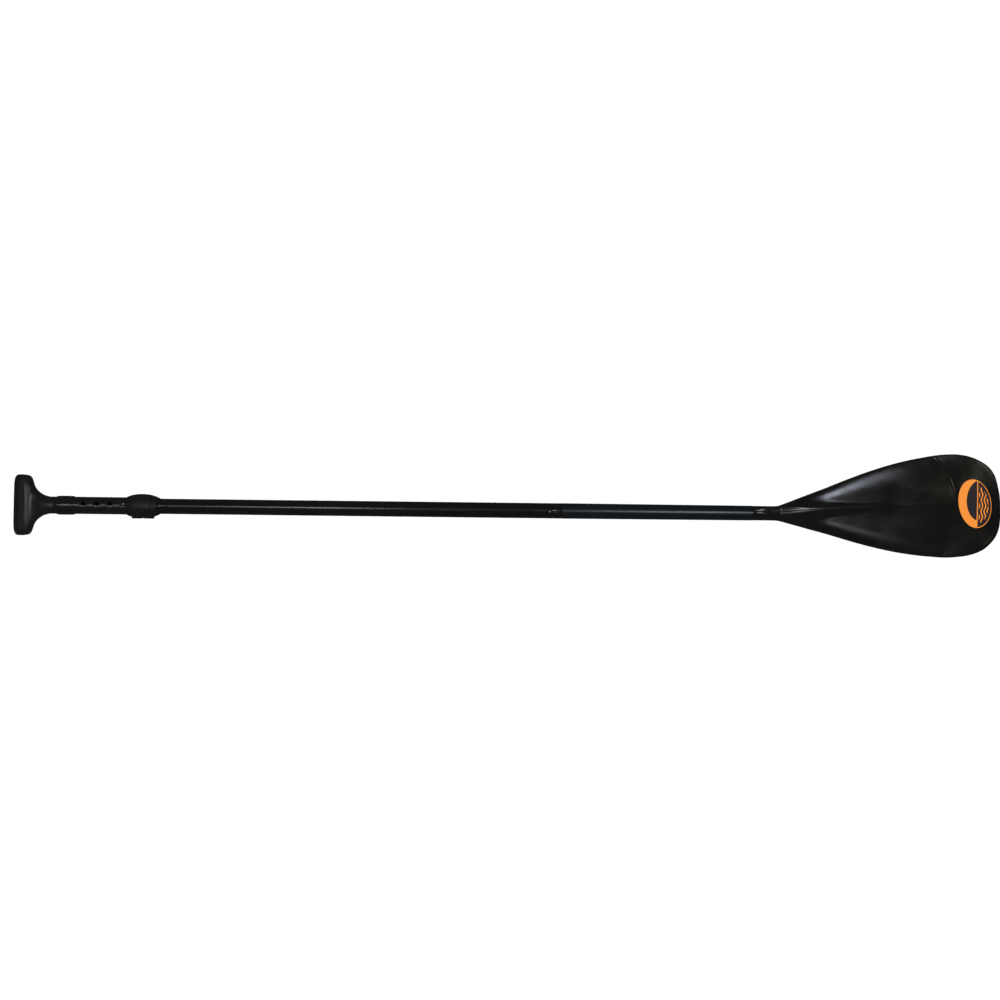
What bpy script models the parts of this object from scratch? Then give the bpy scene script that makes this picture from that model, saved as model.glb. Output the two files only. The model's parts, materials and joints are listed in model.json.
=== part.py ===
"""An adjustable three-piece paddle for stand-up boards, lying on its clamp, in metres.

+X runs from the palm grip to the blade, +Z is up and the tubes' axis is parallel to X at
y = 0. The lowest point is the foot under the clamp, at z = 0. Every piece is modelled in
"shaft coordinates", whose zero height is the tubes' axis, and hangs on an empty there.
"""

import math

import bmesh
import bpy
import numpy as np
from mathutils import Matrix, Vector

MM = 0.001
GAP = 0.3 * MM  # air left between pieces that touch on the real paddle
RUNNING = 0.15 * MM  # radial clearance of a pin that turns or a bolt in its hole

# Lengths along the paddle, in order from the grip to the blade's tip
GRIP_LENGTH = 81.0 * MM
FERRULE_LENGTH = 31.8 * MM
HANDLE_SHOWN = 99.2 * MM
CLAMP_LENGTH = 60.3 * MM
MIDDLE_SHOWN = 751.6 * MM
LOWER_SHOWN = 355.0 * MM
NECK_LENGTH = 50.4 * MM
BLADE_LENGTH = 367.5 * MM

# Tubes
HANDLE_RADIUS = 16.1 * MM
HANDLE_WALL = 1.5 * MM
SLIDING = 0.3 * MM  # radial clearance between the handle tube and the middle shaft
MIDDLE_WALL = 1.4 * MM
LOWER_STEP = 0.2 * MM  # the lower shaft is this much thicker than the middle one
LOWER_TAPER = 0.7 * MM  # what its radius loses on the way to the blade
LOWER_WALL = 1.4 * MM
NECK_STEP = 0.3 * MM  # the blade's neck is this much thinner than the shaft's end

# Palm grip: half width across the palm and half thickness of its bar. It is glued into the
# handle a little round from the blade, with its +Y end up
GRIP_TURN = math.radians(13.9)
GRIP_HALF_WIDTH = 57.0 * MM
GRIP_BAR_RADIUS_X = 17.8 * MM
GRIP_BAR_RADIUS_Z = 13.5 * MM
GRIP_WAIST_Z = 11.6 * MM
GRIP_NECK_RADIUS = 16.0 * MM
GRIP_CAP_THICKNESS = 5.0 * MM
GRIP_BORE_RADIUS = 9.5 * MM
GRIP_PLUG_LENGTH = 9.0 * MM
FERRULE_WALL = 1.4 * MM
FERRULE_BULGE = 0.5 * MM

# Row of length holes along the top of the handle tube
HOLE_COUNT = 4
HOLE_PITCH = 25.0 * MM
HOLE_RADIUS = 3.9 * MM
BUTTON_BEFORE_CLAMP = 3.0 * MM
SHAFT_PAST_BUTTON = 15.0 * MM

# Snap buttons
BUTTON_RADIUS = 3.4 * MM
BUTTON_PROUD = 1.8 * MM
BUTTON_FLANGE_RADIUS = 4.4 * MM
BUTTON_FLANGE_THICKNESS = 1.0 * MM
SPRING_LEAF = 0.6 * MM
SPRING_WIDTH = 7.0 * MM
SPRING_LENGTH = 38.0 * MM
JOINT_BUTTON_TURN = math.radians(-23)  # the lower button sits round towards -Y
JOINT_BUTTON_BEFORE_SEAM = 22.9 * MM
SPIGOT_WALL = 2.0 * MM
SPIGOT_IN_MIDDLE = 70.0 * MM
SPIGOT_IN_LOWER = 45.0 * MM

# Clamp: a bulb split at the back, squeezed by a cross bolt and a lever that closes flush
CLAMP_SWELL = 6.3 * MM  # the bulb's greatest wall over the handle tube
CLAMP_PEAK = 0.47  # where the bulb is thickest, as a share of its length
CLAMP_EDGE = 0.6 * MM  # wall left at the bulb's two ends
CLAMP_LIP = 4.0 * MM  # the end wall past the handle tube's end
CLAMP_TURN = math.radians(61)  # angle of the split below the -Y side
CLAMP_SPLIT = 1.8 * MM
TUBE_SPLIT = 2.6 * MM
TUBE_SPLIT_LENGTH = 50.0 * MM
LEVER_THICKNESS = 3.0 * MM
LEVER_EDGE = 1.2 * MM  # the lever's least thickness, at its two ends
LEVER_BEFORE = 6.0 * MM  # clamp length left outside the lever at the handle end
LEVER_AFTER = 12.5 * MM  # and at the shaft end
LEVER_END_ANGLE = math.radians(40)
LEVER_TAB_LENGTH = 4.5 * MM
LEVER_TAB_WIDTH = 25.0 * MM
LEVER_HUB_WALL = 1.3 * MM  # round the barrel that the lever turns on
LEVER_HUB_CLEARANCE = 0.5 * MM  # of the lever's hub above the ears
BOLT_RADIUS = 2.0 * MM
BOLT_HEAD_LENGTH = 3.0 * MM
EAR_TOP = 5.0 * MM
EAR_SEAT = 5.2 * MM  # depth of the bolt head's seat below the split
EAR_END = 11.0 * MM
EAR_WIDTH = 16.0 * MM
EAR_WALL = 1.9 * MM
WASHER_THICKNESS = 0.8 * MM
FOOT_DEPTH = 10.2 * MM  # of the foot's flat below the clamp's bore
FOOT_WIDTH = 26.0 * MM
FOOT_LENGTH = 34.0 * MM

# Foam floats inside the tubes and the blade's tang
FOAM_LENGTH = 60.0 * MM
PLUG_LENGTH = 8.0 * MM
TANG_LENGTH = 60.0 * MM
TANG_CLEARANCE = 0.35 * MM

# Blade
BLADE_HALF_WIDTH = 95.9 * MM
BLADE_HALF_THICKNESS = 3.6 * MM
BLADE_TIP_HALF_THICKNESS = 1.9 * MM
NECK_FADE = 85.0 * MM  # length over which the round neck turns into the blade
UNDER_SPINE = 0.5  # the spine's height under the blade, as a share of the one on top
# (share of blade length, share of half width)
BLADE_OUTLINE = (
    (0.0, 0.149),
    (0.065, 0.239),
    (0.12, 0.316),
    (0.229, 0.465),
    (0.337, 0.622),
    (0.446, 0.764),
    (0.555, 0.879),
    (0.664, 0.958),
    (0.77, 1.0),
    (0.827, 0.989),
    (0.87, 0.953),
    (0.91, 0.884),
    (0.941, 0.79),
    (0.963, 0.697),
    (0.985, 0.532),
    (0.996, 0.34),
    (1.0, 0.13),
)
# The tip's middle leans to the +Y side by these shares of the half width
BLADE_TIP_LEAN = (
    (0.0, 0.0),
    (0.9, 0.0),
    (0.941, 0.011),
    (0.963, 0.023),
    (0.985, 0.048),
    (0.996, 0.078),
    (1.0, 0.08),
)
# (share of blade length, height of its edges above the tubes' axis)
BLADE_RISE = (
    (0.0, 0.0),
    (0.065, 5.2 * MM),
    (0.174, 14.6 * MM),
    (0.337, 28.5 * MM),
    (0.5, 43.4 * MM),
    (0.61, 54.0 * MM),
    (0.718, 64.6 * MM),
    (0.827, 77.2 * MM),
    (0.93, 91.0 * MM),
    (1.0, 100.3 * MM),
)
# (share of blade length, height of its middle above its edges)
BLADE_CROWN = (
    (0.0, 0.0),
    (0.1, 6.0 * MM),
    (0.22, 10.0 * MM),
    (0.4, 12.5 * MM),
    (0.62, 14.0 * MM),
    (0.78, 12.0 * MM),
    (0.88, 7.5 * MM),
    (0.95, 3.0 * MM),
    (1.0, 0.5 * MM),
)
# (share of blade length, spine height, spine half width)
BLADE_SPINE = (
    (0.0, 9 * MM, 12 * MM),
    (0.22, 7.5 * MM, 9 * MM),
    (0.45, 4.5 * MM, 5.5 * MM),
    (0.59, 1.6 * MM, 3 * MM),
    (0.68, 0.0, 2 * MM),
    (1.0, 0.0, 2 * MM),
)
EMBLEM_AT = 0.887  # share of blade length
EMBLEM_SIDE = -1.5 * MM
EMBLEM_HALF_LENGTH = 26.6 * MM
EMBLEM_HALF_WIDTH = 44.8 * MM
EMBLEM_THICKNESS = 0.3 * MM

ROUND = 48  # segments round a tube
FINE = 24  # segments round a small pin or button

# Stations along X, worked out from the lengths
OVERALL = sum(
    (
        GRIP_LENGTH,
        FERRULE_LENGTH,
        HANDLE_SHOWN,
        CLAMP_LENGTH,
        MIDDLE_SHOWN,
        LOWER_SHOWN,
        NECK_LENGTH,
        BLADE_LENGTH,
    )
)
CROWN_X = -OVERALL / 2
FERRULE_X = CROWN_X + GRIP_LENGTH
TUBE_X = FERRULE_X + FERRULE_LENGTH
CLAMP_X = TUBE_X + HANDLE_SHOWN
SHAFT_X = CLAMP_X + CLAMP_LENGTH
SEAM_X = SHAFT_X + MIDDLE_SHOWN
NECK_X = SEAM_X + LOWER_SHOWN
BLADE_X = NECK_X + NECK_LENGTH
BUTTON_X = CLAMP_X - BUTTON_BEFORE_CLAMP
JOINT_BUTTON_X = SEAM_X - JOINT_BUTTON_BEFORE_SEAM
MIDDLE_TOP_X = BUTTON_X - SHAFT_PAST_BUTTON
LEVER_X0 = CLAMP_X + LEVER_BEFORE
LEVER_X1 = SHAFT_X - LEVER_AFTER
BOLT_X = (LEVER_X0 + LEVER_X1) / 2

# Radii worked out from the tubes
HANDLE_BORE = HANDLE_RADIUS - HANDLE_WALL
MIDDLE_RADIUS = HANDLE_BORE - SLIDING
MIDDLE_BORE = MIDDLE_RADIUS - MIDDLE_WALL
SPIGOT_RADIUS = MIDDLE_BORE - GAP
SPIGOT_BORE = SPIGOT_RADIUS - SPIGOT_WALL
LOWER_RADIUS_TOP = MIDDLE_RADIUS + LOWER_STEP
LOWER_RADIUS_END = LOWER_RADIUS_TOP - LOWER_TAPER
NECK_RADIUS = LOWER_RADIUS_END - NECK_STEP
LOWER_BORE_TOP = LOWER_RADIUS_TOP - LOWER_WALL
LOWER_BORE_END = LOWER_RADIUS_END - LOWER_WALL
CLAMP_BORE = HANDLE_RADIUS + GAP
CLAMP_MOUTH = MIDDLE_RADIUS + SLIDING
CLAMP_RADIUS = CLAMP_BORE + CLAMP_SWELL
LEVER_INNER_RADIUS = CLAMP_RADIUS - LEVER_THICKNESS
FOOT_DROP = CLAMP_BORE + FOOT_DEPTH  # of the foot's flat below the tubes' axis
BOLT_DISTANCE = CLAMP_BORE + BOLT_RADIUS + 0.6 * MM  # from the tubes' axis
BOLT_HEAD_RADIUS = 1.6 * BOLT_RADIUS
BOLT_KEY_RADIUS = 0.85 * BOLT_RADIUS
TRUNNION_RADIUS = 1.2 * BOLT_RADIUS
LEVER_HUB_RADIUS = TRUNNION_RADIUS + LEVER_HUB_WALL
TRUNNION_HEIGHT = EAR_TOP + LEVER_HUB_CLEARANCE + LEVER_HUB_RADIUS  # the pivot above the split


# ---------------------------------------------------------------- helpers


def clear_scene():
    for old in list(bpy.data.objects):
        bpy.data.objects.remove(old, do_unlink=True)


def material(name, colour, roughness, metallic=0.0):
    made = bpy.data.materials.get(name) or bpy.data.materials.new(name)
    made.use_nodes = True
    shader = made.node_tree.nodes["Principled BSDF"]
    shader.inputs["Base Color"].default_value = (*colour, 1.0)
    shader.inputs["Roughness"].default_value = roughness
    shader.inputs["Metallic"].default_value = metallic
    return made


def body_empty(name):
    """An empty on the tubes' axis that carries one moving body's pieces."""
    empty = bpy.data.objects.new(name, None)
    empty.location = (0.0, 0.0, FOOT_DROP)
    bpy.context.scene.collection.objects.link(empty)
    return empty


def finish(bm, name, parent, look, smooth_angle=35.0):
    """Turns a bmesh into a smooth-shaded object on its body's empty, faces outwards."""
    bmesh.ops.remove_doubles(bm, verts=bm.verts, dist=1e-6)
    bmesh.ops.recalc_face_normals(bm, faces=bm.faces)
    if bm.calc_volume(signed=True) < 0:
        bmesh.ops.reverse_faces(bm, faces=bm.faces)
    mesh = bpy.data.meshes.new(name)
    bm.to_mesh(mesh)
    bm.free()
    mesh.shade_smooth()
    mesh.set_sharp_from_angle(angle=math.radians(smooth_angle))
    made = bpy.data.objects.new(name, mesh)
    bpy.context.scene.collection.objects.link(made)
    made.parent = parent
    if look:
        mesh.materials.append(look)
    return made


def tool(bm, name, parent):
    """A hidden cutter, or a hidden solid to join."""
    made = finish(bm, name, parent, None)
    made.hide_render = True
    made.hide_set(True)
    made.display_type = "WIRE"
    return made


def combine(target, other, operation):
    step = target.modifiers.new(other.name, "BOOLEAN")
    step.object = other
    step.operation = operation
    step.solver = "EXACT"


def set_origin(made, point):
    """Moves an object's origin to a point, leaving its shape where it is."""
    made.data.transform(Matrix.Translation(-Vector(point)))
    made.location = point


def add_turned(bm, profile, closed, steps=ROUND, axis=(1, 0, 0), centre=(0, 0, 0)):
    """Spins a profile of (along, radius) pairs round an axis along X or Z."""
    along_x = axis[0] == 1
    points = [Vector((a, 0, r) if along_x else (r, 0, a)) for a, r in profile]
    verts = [bm.verts.new(point + Vector(centre)) for point in points]
    following = verts[1:] + verts[:1] if closed else verts[1:]
    edges = [bm.edges.new(pair) for pair in zip(verts, following)]
    bmesh.ops.spin(
        bm,
        geom=verts + edges,
        cent=centre,
        axis=axis,
        angle=2 * math.pi,
        steps=steps,
        use_merge=True,
    )


def turned(profile, closed=False, **where):
    bm = bmesh.new()
    add_turned(bm, profile, closed, **where)
    return bm


def rod_profile(start, end, radius, chamfer=0.0):
    """Outline of a solid rod, from the axis out and back to the axis."""
    if not chamfer:
        return [(start, 0.0), (start, radius), (end, radius), (end, 0.0)]
    return [
        (start, 0.0),
        (start, radius - chamfer),
        (start + chamfer, radius),
        (end - chamfer, radius),
        (end, radius - chamfer),
        (end, 0.0),
    ]


def pipe_profile(start, end, outer, bore, chamfer):
    """Outline of a pipe whose outer edges are chamfered."""
    return [
        (start, outer - chamfer),
        (start + chamfer, outer),
        (end - chamfer, outer),
        (end, outer - chamfer),
        (end, bore),
        (start, bore),
    ]


def loft(rings):
    """A closed solid through rings of points, with flat ends."""
    bm = bmesh.new()
    rows = [[bm.verts.new(point) for point in ring] for ring in rings]
    for low, high in zip(rows, rows[1:]):
        for i in range(len(low)):
            j = (i + 1) % len(low)
            bm.faces.new((low[i], low[j], high[j], high[i]))
    bm.faces.new(rows[0])
    bm.faces.new(rows[-1][::-1])
    return bm


def box(low, high, bevel=0.0):
    bm = bmesh.new()
    size = Vector(high) - Vector(low)
    middle = (Vector(high) + Vector(low)) / 2
    matrix = Matrix.Translation(middle) @ Matrix.Diagonal((*size, 1.0))
    bmesh.ops.create_cube(bm, size=1.0, matrix=matrix)
    if bevel:
        bmesh.ops.bevel(bm, geom=bm.edges[:], offset=bevel, segments=2, affect="EDGES")
    return bm


def smooth_through(pairs, at):
    """Values of a monotone cubic curve through (position, value) pairs."""
    x, y = (np.array(column, float) for column in zip(*pairs))
    step = np.diff(x)
    slope = np.diff(y) / step
    tangent = np.zeros_like(y)
    tangent[0], tangent[-1] = slope[0], slope[-1]
    for i in range(1, len(x) - 1):
        if slope[i - 1] * slope[i] > 0:
            before, after = 2 * step[i] + step[i - 1], step[i] + 2 * step[i - 1]
            tangent[i] = (before + after) / (before / slope[i - 1] + after / slope[i])
    at = np.clip(np.asarray(at, float), x[0], x[-1])
    i = np.clip(np.searchsorted(x, at, side="right") - 1, 0, len(step) - 1)
    t = (at - x[i]) / step[i]
    stay = (1 + 2 * t) * (1 - t) ** 2 * y[i] + t * (1 - t) ** 2 * step[i] * tangent[i]
    go = t * t * (3 - 2 * t) * y[i + 1] + t * t * (t - 1) * step[i] * tangent[i + 1]
    return stay + go


def turn_about_shaft(bm, angle):
    bmesh.ops.rotate(bm, cent=(0, 0, 0), matrix=Matrix.Rotation(angle, 3, "X"), verts=bm.verts)
    return bm


def around_shaft(distance, height):
    """Turns clamp coordinates (outwards from the split, above it) into (y, z)."""
    cos, sin = math.cos(CLAMP_TURN), math.sin(CLAMP_TURN)
    return (-distance * cos - height * sin, -distance * sin + height * cos)


# ---------------------------------------------------------------- palm grip


def grip_sections():
    """(distance from the crown, half width, half thickness, squareness) along the grip."""
    sections = []
    for angle in np.radians((12, 22, 33, 45, 57, 70, 82, 90)):
        along = GRIP_BAR_RADIUS_X * (1 - math.cos(angle))
        across = GRIP_HALF_WIDTH * (1 - math.cos(angle) ** 5) ** 0.2
        sections.append((along, across, GRIP_BAR_RADIUS_Z * math.sin(angle), 5.0))
    width = (
        (GRIP_BAR_RADIUS_X, GRIP_HALF_WIDTH),
        (23.5 * MM, 0.985 * GRIP_HALF_WIDTH),
        (27.5 * MM, 0.965 * GRIP_HALF_WIDTH),
        (30.0 * MM, 53.0 * MM),
        (32.5 * MM, 47.5 * MM),
        (36.0 * MM, 37.5 * MM),
        (40.0 * MM, 31.0 * MM),
        (47.0 * MM, 24.5 * MM),
        (56.0 * MM, 19.0 * MM),
        (67.0 * MM, GRIP_NECK_RADIUS),
    )
    depth = (
        (GRIP_BAR_RADIUS_X, GRIP_BAR_RADIUS_Z),
        (27.0 * MM, 14.6 * MM),
        (36.0 * MM, GRIP_WAIST_Z),
        (44.0 * MM, 12.6 * MM),
        (56.0 * MM, 14.8 * MM),
        (67.0 * MM, GRIP_NECK_RADIUS),
    )
    square = ((GRIP_BAR_RADIUS_X, 5.0), (33.0 * MM, 3.4), (48.0 * MM, 2.3), (67.0 * MM, 2.0))
    for along in MM * np.array((21, 24, 27, 29, 31, 33, 35.5, 38.5, 42, 46, 50, 55, 60, 67)):
        across = float(smooth_through(width, along))
        thick = float(smooth_through(depth, along))
        sections.append((along, across, thick, float(smooth_through(square, along))))
    return sections


def grip_ring(along, across, thick, power):
    angles = np.linspace(0, 2 * np.pi, ROUND, endpoint=False)
    cos, sin = np.cos(angles), np.sin(angles)
    y = across * np.sign(cos) * np.abs(cos) ** (2 / power)
    z = thick * np.sign(sin) * np.abs(sin) ** (2 / power)
    return [(CROWN_X + along, a, b) for a, b in zip(y, z)]


def grip_shell():
    """The whole outside of the grip, with the spigot that fills the ferrule's tube."""
    rings = [grip_ring(*section) for section in grip_sections()]
    shoulder = GRIP_LENGTH + GAP
    inside = HANDLE_BORE - GAP
    rings.append(grip_ring(shoulder, GRIP_NECK_RADIUS, GRIP_NECK_RADIUS, 2.0))
    rings.append(grip_ring(shoulder, inside, inside, 2.0))
    rings.append(grip_ring(GRIP_LENGTH + FERRULE_LENGTH - 3 * MM, inside, inside, 2.0))
    return loft(rings)


def build_grip(handle, look, cap_look):
    turned_empty = bpy.data.objects.new("palm_grip_turn", None)
    turned_empty.rotation_euler = (GRIP_TURN, 0.0, 0.0)
    turned_empty.parent = handle
    bpy.context.scene.collection.objects.link(turned_empty)
    bar_x = CROWN_X + GRIP_BAR_RADIUS_X
    cut_y = GRIP_HALF_WIDTH - GRIP_CAP_THICKNESS
    reach = 2 * GRIP_HALF_WIDTH
    grip = finish(grip_shell(), "palm_grip", turned_empty, look, 50)
    core = box((CROWN_X - reach, -cut_y, -reach), (FERRULE_X + reach, cut_y, reach))
    combine(grip, tool(core, "grip_core", turned_empty), "INTERSECT")
    bore = turned(rod_profile(-reach, reach, GRIP_BORE_RADIUS), steps=FINE)
    turn = Matrix.Translation((bar_x, 0, 0)) @ Matrix.Rotation(math.pi / 2, 4, "Z")
    bore.transform(turn)
    combine(grip, tool(bore, "grip_bore", turned_empty), "DIFFERENCE")
    for side, label in ((-1, "left"), (1, "right")):
        cap = finish(grip_shell(), f"grip_end_cap_{label}", turned_empty, cap_look, 50)
        near, far = sorted((side * (cut_y + GAP), side * reach))
        slab = box((CROWN_X - reach, near, -reach), (FERRULE_X + reach, far, reach))
        combine(cap, tool(slab, f"cap_slab_{label}", turned_empty), "INTERSECT")
        ends = (cut_y - GRIP_PLUG_LENGTH, cut_y + 0.6 * GRIP_CAP_THICKNESS)
        plug = turned(rod_profile(*ends, GRIP_BORE_RADIUS - GAP, 0.6 * MM), steps=FINE)
        plug.transform(Matrix.Translation((bar_x, 0, 0)) @ Matrix.Rotation(side * math.pi / 2, 4, "Z"))
        combine(cap, tool(plug, f"cap_plug_{label}", turned_empty), "UNION")


def build_ferrule(handle, look):
    inner = HANDLE_RADIUS + GAP
    edge = inner + FERRULE_WALL - FERRULE_BULGE
    start, end = FERRULE_X + GAP, TUBE_X
    bulge = [
        (start + t * (end - start), edge + FERRULE_BULGE * math.sin(math.pi * t) ** 0.6)
        for t in np.linspace(0.04, 0.96, 9)
    ]
    profile = [(start, edge - 0.5 * MM), *bulge, (end, edge - 0.5 * MM), (end, inner), (start, inner)]
    finish(turned(profile, closed=True), "grip_ferrule", handle, look)


# ---------------------------------------------------------------- handle tube and clamp


def handle_end():
    return SHAFT_X - CLAMP_LIP - GAP


def build_handle_tube(handle, look):
    """The outer tube: a row of length holes along its top and a split end in the clamp."""
    start = FERRULE_X + 2 * GAP
    profile = pipe_profile(start, handle_end(), HANDLE_RADIUS, HANDLE_BORE, 0.3 * MM)
    tube = finish(turned(profile, closed=True), "handle_tube", handle, look)
    for number in range(HOLE_COUNT):
        centre = (BUTTON_X - number * HOLE_PITCH, 0, 0)
        hole = turned(
            rod_profile(HANDLE_BORE / 2, 2 * HANDLE_RADIUS, HOLE_RADIUS),
            steps=FINE,
            axis=(0, 0, 1),
            centre=centre,
        )
        combine(tube, tool(hole, f"length_hole_{number + 1}", handle), "DIFFERENCE")
    low = (handle_end() - TUBE_SPLIT_LENGTH, -2 * HANDLE_RADIUS, -TUBE_SPLIT / 2)
    split = box(low, (handle_end() + 5 * MM, -HANDLE_BORE / 2, TUBE_SPLIT / 2))
    turn_about_shaft(split, CLAMP_TURN)
    combine(tube, tool(split, "tube_split", handle), "DIFFERENCE")


def clamp_radius(x):
    """Outer radius of the clamp's bulb at a station."""
    share = (x - CLAMP_X) / CLAMP_LENGTH
    if share < CLAMP_PEAK:
        drop = CLAMP_RADIUS - CLAMP_BORE - CLAMP_EDGE
        return CLAMP_RADIUS - drop * ((CLAMP_PEAK - share) / CLAMP_PEAK) ** 2.5
    drop = CLAMP_RADIUS - CLAMP_MOUTH - CLAMP_EDGE
    return CLAMP_RADIUS - drop * ((share - CLAMP_PEAK) / (1 - CLAMP_PEAK)) ** 2.3


def lever_inner(x):
    return min(LEVER_INNER_RADIUS, clamp_radius(x) - LEVER_EDGE)


def sector(start_x, end_x, inner, outer, first, last, steps):
    """A ring sector round the shaft; inner and outer are functions of the station."""
    stations = np.linspace(start_x, end_x, 13)
    section = [(x, outer(x)) for x in stations]
    section += [(x, inner(x)) for x in stations[::-1]]
    rings = []
    for angle in np.linspace(first, last, steps):
        cos, sin = math.cos(angle), math.sin(angle)
        rings.append([(x, r * cos, r * sin) for x, r in section])
    return loft(rings)


def pivot_angle():
    """Angle of the lever's pivot round the shaft, from +Y towards +Z."""
    y, z = around_shaft(BOLT_DISTANCE, TRUNNION_HEIGHT)
    return math.atan2(z, y) % (2 * math.pi)


def along_x_at_pivot(start, end, radius, chamfer=0.0):
    """A rod along X on the lever's pivot."""
    centre = (0, *around_shaft(BOLT_DISTANCE, TRUNNION_HEIGHT))
    return turned(rod_profile(start, end, radius, chamfer), steps=FINE, centre=centre)


def along_bolt(low, high, radius, chamfer=0.0, steps=FINE):
    """A rod on the bolt's axis, between two heights above the split."""
    profile = rod_profile(low, high, radius, chamfer)
    rod = turned(profile, steps=steps, axis=(0, 0, 1), centre=(BOLT_X, -BOLT_DISTANCE, 0))
    return turn_about_shaft(rod, CLAMP_TURN)


def clamp_bulb():
    """The turned bulb with its bore, and a lip that closes round the thinner shaft."""
    outside = [(x, clamp_radius(x)) for x in np.linspace(CLAMP_X, SHAFT_X, 21)]
    inside = [
        (SHAFT_X, CLAMP_MOUTH),
        (SHAFT_X - CLAMP_LIP, CLAMP_MOUTH),
        (SHAFT_X - CLAMP_LIP, CLAMP_BORE),
        (CLAMP_X, CLAMP_BORE),
    ]
    return turned(outside + inside, closed=True)


def build_clamp_body(handle, look):
    body = finish(clamp_bulb(), "clamp_body", handle, look)
    outer_face = BOLT_DISTANCE + BOLT_HEAD_RADIUS + EAR_WALL
    reach = 2 * CLAMP_RADIUS
    half = EAR_WIDTH / 2
    ears = box(
        (BOLT_X - half, -outer_face, -EAR_END),
        (BOLT_X + half, -CLAMP_BORE - 0.5 * MM, EAR_TOP),
        0.8 * MM,
    )
    turn_about_shaft(ears, CLAMP_TURN)
    combine(body, tool(ears, "clamp_ears", handle), "UNION")
    foot = box(
        (BOLT_X - FOOT_LENGTH / 2, -FOOT_WIDTH / 2, -FOOT_DROP),
        (BOLT_X + FOOT_LENGTH / 2, FOOT_WIDTH / 2, -CLAMP_BORE - 1.0 * MM),
    )
    combine(body, tool(foot, "clamp_foot", handle), "UNION")
    below = box((CLAMP_X, -reach, -2 * FOOT_DROP), (SHAFT_X, reach, -FOOT_DROP))
    combine(body, tool(below, "clamp_below_foot", handle), "DIFFERENCE")
    split = box((CLAMP_X - 5 * MM, -reach, -CLAMP_SPLIT / 2), (SHAFT_X + 5 * MM, 0, CLAMP_SPLIT / 2))
    turn_about_shaft(split, CLAMP_TURN)
    combine(body, tool(split, "clamp_split", handle), "DIFFERENCE")
    pocket = sector(
        LEVER_X0 - GAP,
        LEVER_X1 + GAP,
        lambda x: lever_inner(x) - GAP,
        lambda x: reach,
        LEVER_END_ANGLE - math.radians(16),
        pivot_angle(),
        15,
    )
    combine(body, tool(pocket, "lever_pocket", handle), "DIFFERENCE")
    hub = along_x_at_pivot(LEVER_X0 - GAP, LEVER_X1 + GAP, LEVER_HUB_RADIUS + GAP)
    combine(body, tool(hub, "hub_pocket", handle), "DIFFERENCE")
    hole = along_bolt(-reach, reach / 2, BOLT_RADIUS + RUNNING)
    combine(body, tool(hole, "bolt_hole", handle), "DIFFERENCE")
    seat = along_bolt(-reach, -EAR_SEAT, BOLT_HEAD_RADIUS + 2 * GAP)
    combine(body, tool(seat, "bolt_head_pocket", handle), "DIFFERENCE")
    notch = turned(
        rod_profile(HANDLE_BORE / 2, reach, HOLE_RADIUS + 1.4 * MM),
        steps=FINE,
        axis=(0, 0, 1),
        centre=(BUTTON_X, 0, 0),
    )
    combine(body, tool(notch, "button_notch", handle), "DIFFERENCE")


def build_clamp_hardware(handle, steel):
    """The cross bolt, the washer under its head and the barrel that it screws into."""
    washer_low = -EAR_SEAT - GAP - WASHER_THICKNESS
    washer = bmesh.new()
    ring = pipe_profile(washer_low, -EAR_SEAT - GAP, BOLT_HEAD_RADIUS, BOLT_RADIUS + RUNNING, 0.1 * MM)
    centre = (BOLT_X, -BOLT_DISTANCE, 0)
    add_turned(washer, ring, True, steps=FINE, axis=(0, 0, 1), centre=centre)
    finish(turn_about_shaft(washer, CLAMP_TURN), "clamp_washer", handle, steel)

    head_top = washer_low - GAP
    head_low = head_top - BOLT_HEAD_LENGTH
    end = TRUNNION_HEIGHT + TRUNNION_RADIUS - 0.2 * MM
    profile = [
        (head_low, 0.0),
        (head_low, BOLT_HEAD_RADIUS - 0.4 * MM),
        (head_low + 0.4 * MM, BOLT_HEAD_RADIUS),
        (head_top, BOLT_HEAD_RADIUS),
        (head_top, BOLT_RADIUS),
        (end - 0.4 * MM, BOLT_RADIUS),
        (end, BOLT_RADIUS - 0.4 * MM),
        (end, 0.0),
    ]
    bolt = turned(profile, steps=FINE, axis=(0, 0, 1), centre=centre)
    bolt = finish(turn_about_shaft(bolt, CLAMP_TURN), "clamp_bolt", handle, steel)
    key = along_bolt(head_low - 2 * MM, head_low + 2 * MM, BOLT_KEY_RADIUS, steps=6)
    combine(bolt, tool(key, "bolt_key", handle), "DIFFERENCE")

    barrel = along_x_at_pivot(LEVER_X0 + 2 * MM, LEVER_X1 - 2 * MM, TRUNNION_RADIUS, 0.4 * MM)
    barrel = finish(barrel, "clamp_trunnion", handle, steel)
    thread = along_bolt(0, 2 * TRUNNION_HEIGHT, BOLT_RADIUS + RUNNING)
    combine(barrel, tool(thread, "trunnion_thread", handle), "DIFFERENCE")


def lever_tab():
    """The finger tab that runs on straight from the end of the lever's curve."""
    cos, sin = math.cos(LEVER_END_ANGLE), math.sin(LEVER_END_ANGLE)
    half = LEVER_TAB_WIDTH / 2
    outer = min(clamp_radius(BOLT_X - half), clamp_radius(BOLT_X + half)) - GAP
    rings = []
    for x in (BOLT_X - half, BOLT_X + half):
        corners = (
            (LEVER_INNER_RADIUS + 0.3 * MM, -2.0 * MM),
            (LEVER_INNER_RADIUS + 0.7 * MM, LEVER_TAB_LENGTH),
            (outer, LEVER_TAB_LENGTH),
            (outer, -2.0 * MM),
        )
        rings.append([(x, r * cos + t * sin, r * sin - t * cos) for r, t in corners])
    return loft(rings)


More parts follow.
